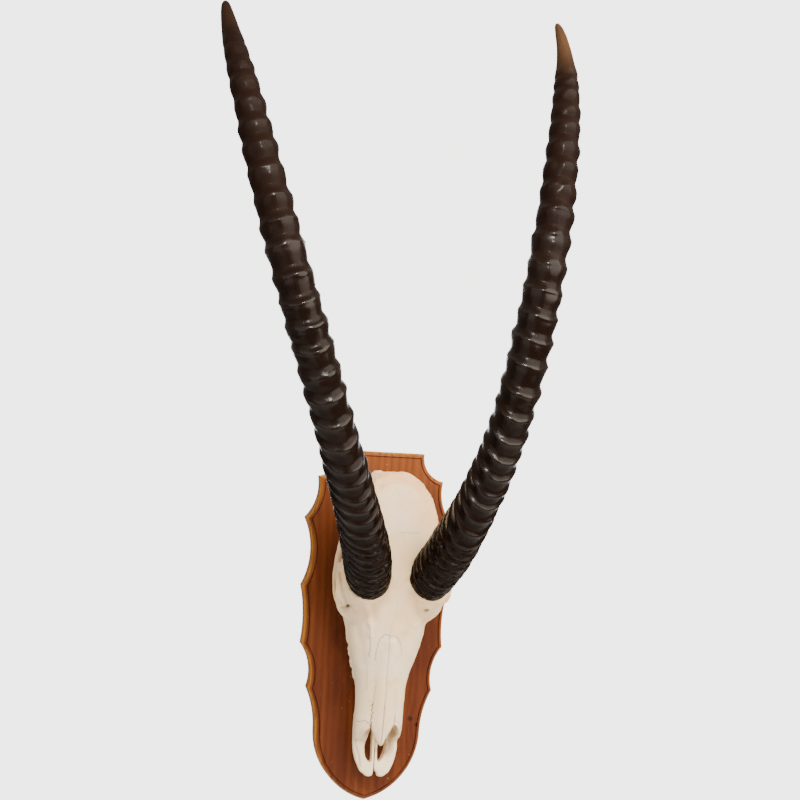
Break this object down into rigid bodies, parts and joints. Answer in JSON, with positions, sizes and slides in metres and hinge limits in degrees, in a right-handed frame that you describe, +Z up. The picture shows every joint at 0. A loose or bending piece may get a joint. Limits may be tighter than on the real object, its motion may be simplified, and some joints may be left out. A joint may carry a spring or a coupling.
{
  "type": "sable antelope skull mount",
  "caption": "Bare antelope skull with two tall ringed horns on a scalloped wooden wall shield.",
  "frame": {"origin": "middle of the flat back of the shield, where it lies against the wall", "axes": "+Y points into the wall, +Z up, +X to the viewer's right; the skull faces -Y"},
  "size_m": [0.4837, 0.3213, 1.114],
  "materials": {
    "stained_wood": "reddish-brown stained and varnished wood with a golden routed edge",
    "bleached_bone": "matt, chalky bleached bone",
    "polished_horn": "near-black brown horn, polished on the rings",
    "tooth_enamel": "worn cream enamel",
    "plated_steel": "dull plated steel"
  },
  "bodies": {
    "root": {"shield": "stained_wood", "skull": "bleached_bone", "horn_left": "polished_horn", "horn_right": "polished_horn", "cheek_tooth_left_1": "tooth_enamel", "cheek_tooth_left_2": "tooth_enamel", "cheek_tooth_left_3": "tooth_enamel", "cheek_tooth_left_4": "tooth_enamel", "cheek_tooth_left_5": "tooth_enamel", "cheek_tooth_left_6": "tooth_enamel", "cheek_tooth_right_1": "tooth_enamel", "cheek_tooth_right_2": "tooth_enamel", "cheek_tooth_right_3": "tooth_enamel", "cheek_tooth_right_4": "tooth_enamel", "cheek_tooth_right_5": "tooth_enamel", "cheek_tooth_right_6": "tooth_enamel", "hanger_plate": "plated_steel", "hanger_screw_left": "plated_steel", "hanger_screw_right": "plated_steel"}
  },
  "joints": []
}
